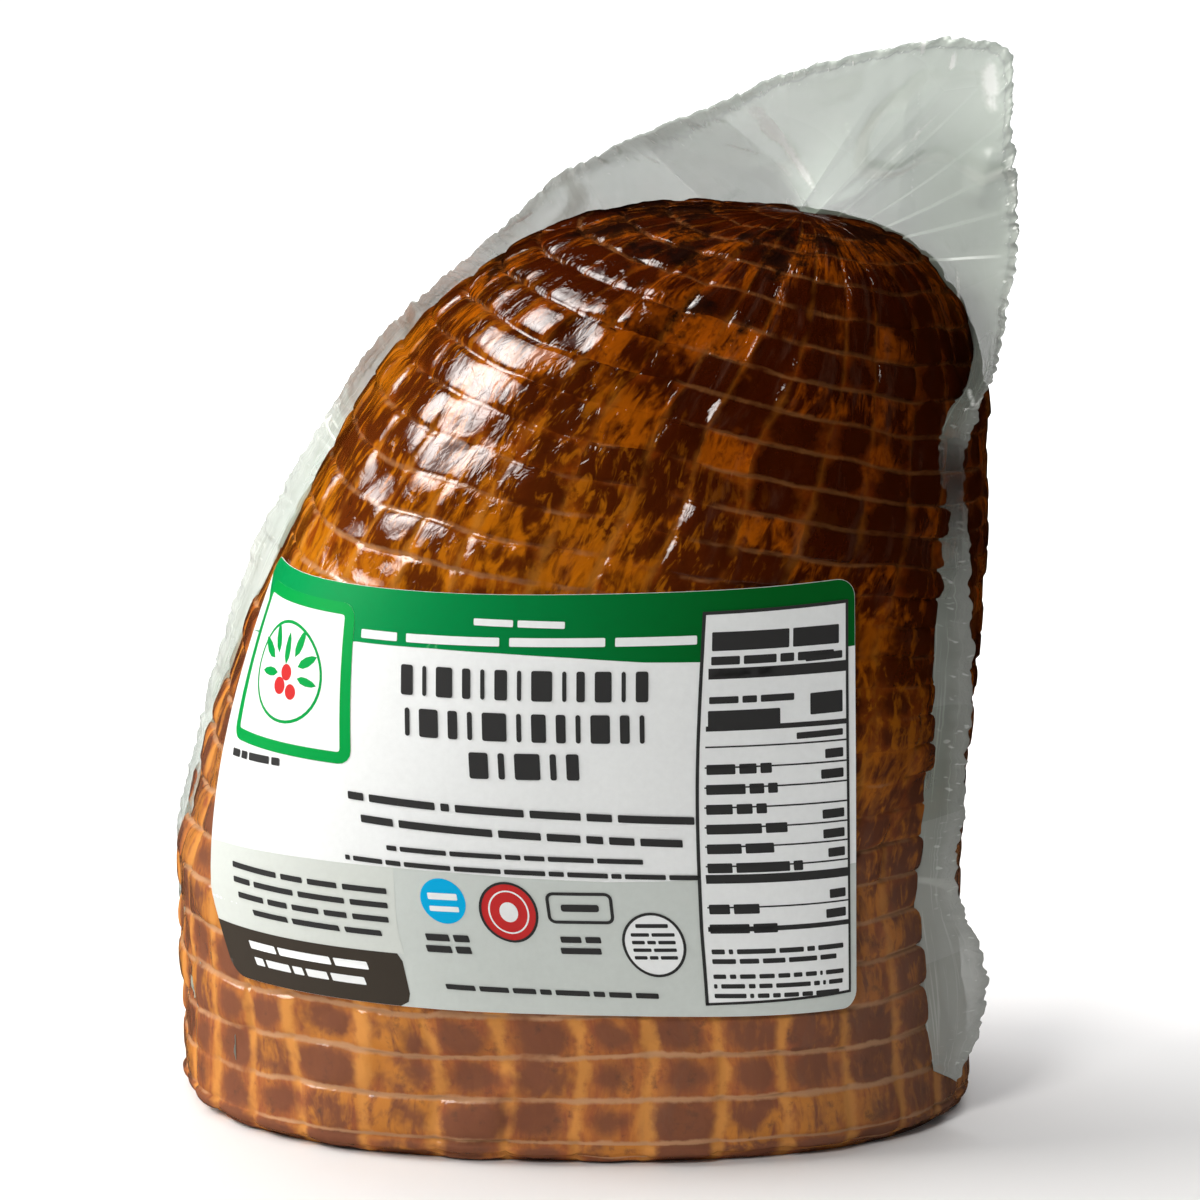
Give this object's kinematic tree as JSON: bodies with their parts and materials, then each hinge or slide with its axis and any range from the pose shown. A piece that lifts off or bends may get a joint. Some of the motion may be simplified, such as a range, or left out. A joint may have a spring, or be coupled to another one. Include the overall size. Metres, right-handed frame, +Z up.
{
  "type": "glazed ham",
  "caption": "Whole boneless smoked ham with a netted, glazed surface, sealed in a clear shrink bag with a loose flap of film, and a printed label round its front.",
  "frame": {"origin": "on the floor under the middle of the whole, ham and film together", "axes": "+Z up from the flat end it stands on to the loose film, label on the -Y side, sloping side of the ham towards -X"},
  "size_m": [0.1862, 0.1264, 0.2389],
  "materials": {
    "smoked_meat": "glazed brown smoked rind under tight clear film",
    "label_paper": "printed film label, satin",
    "clear_film": "clear crinkled shrink film"
  },
  "bodies": {
    "root": {"ham": "smoked_meat", "label": "label_paper", "bag_edge": "clear_film"}
  },
  "joints": []
}
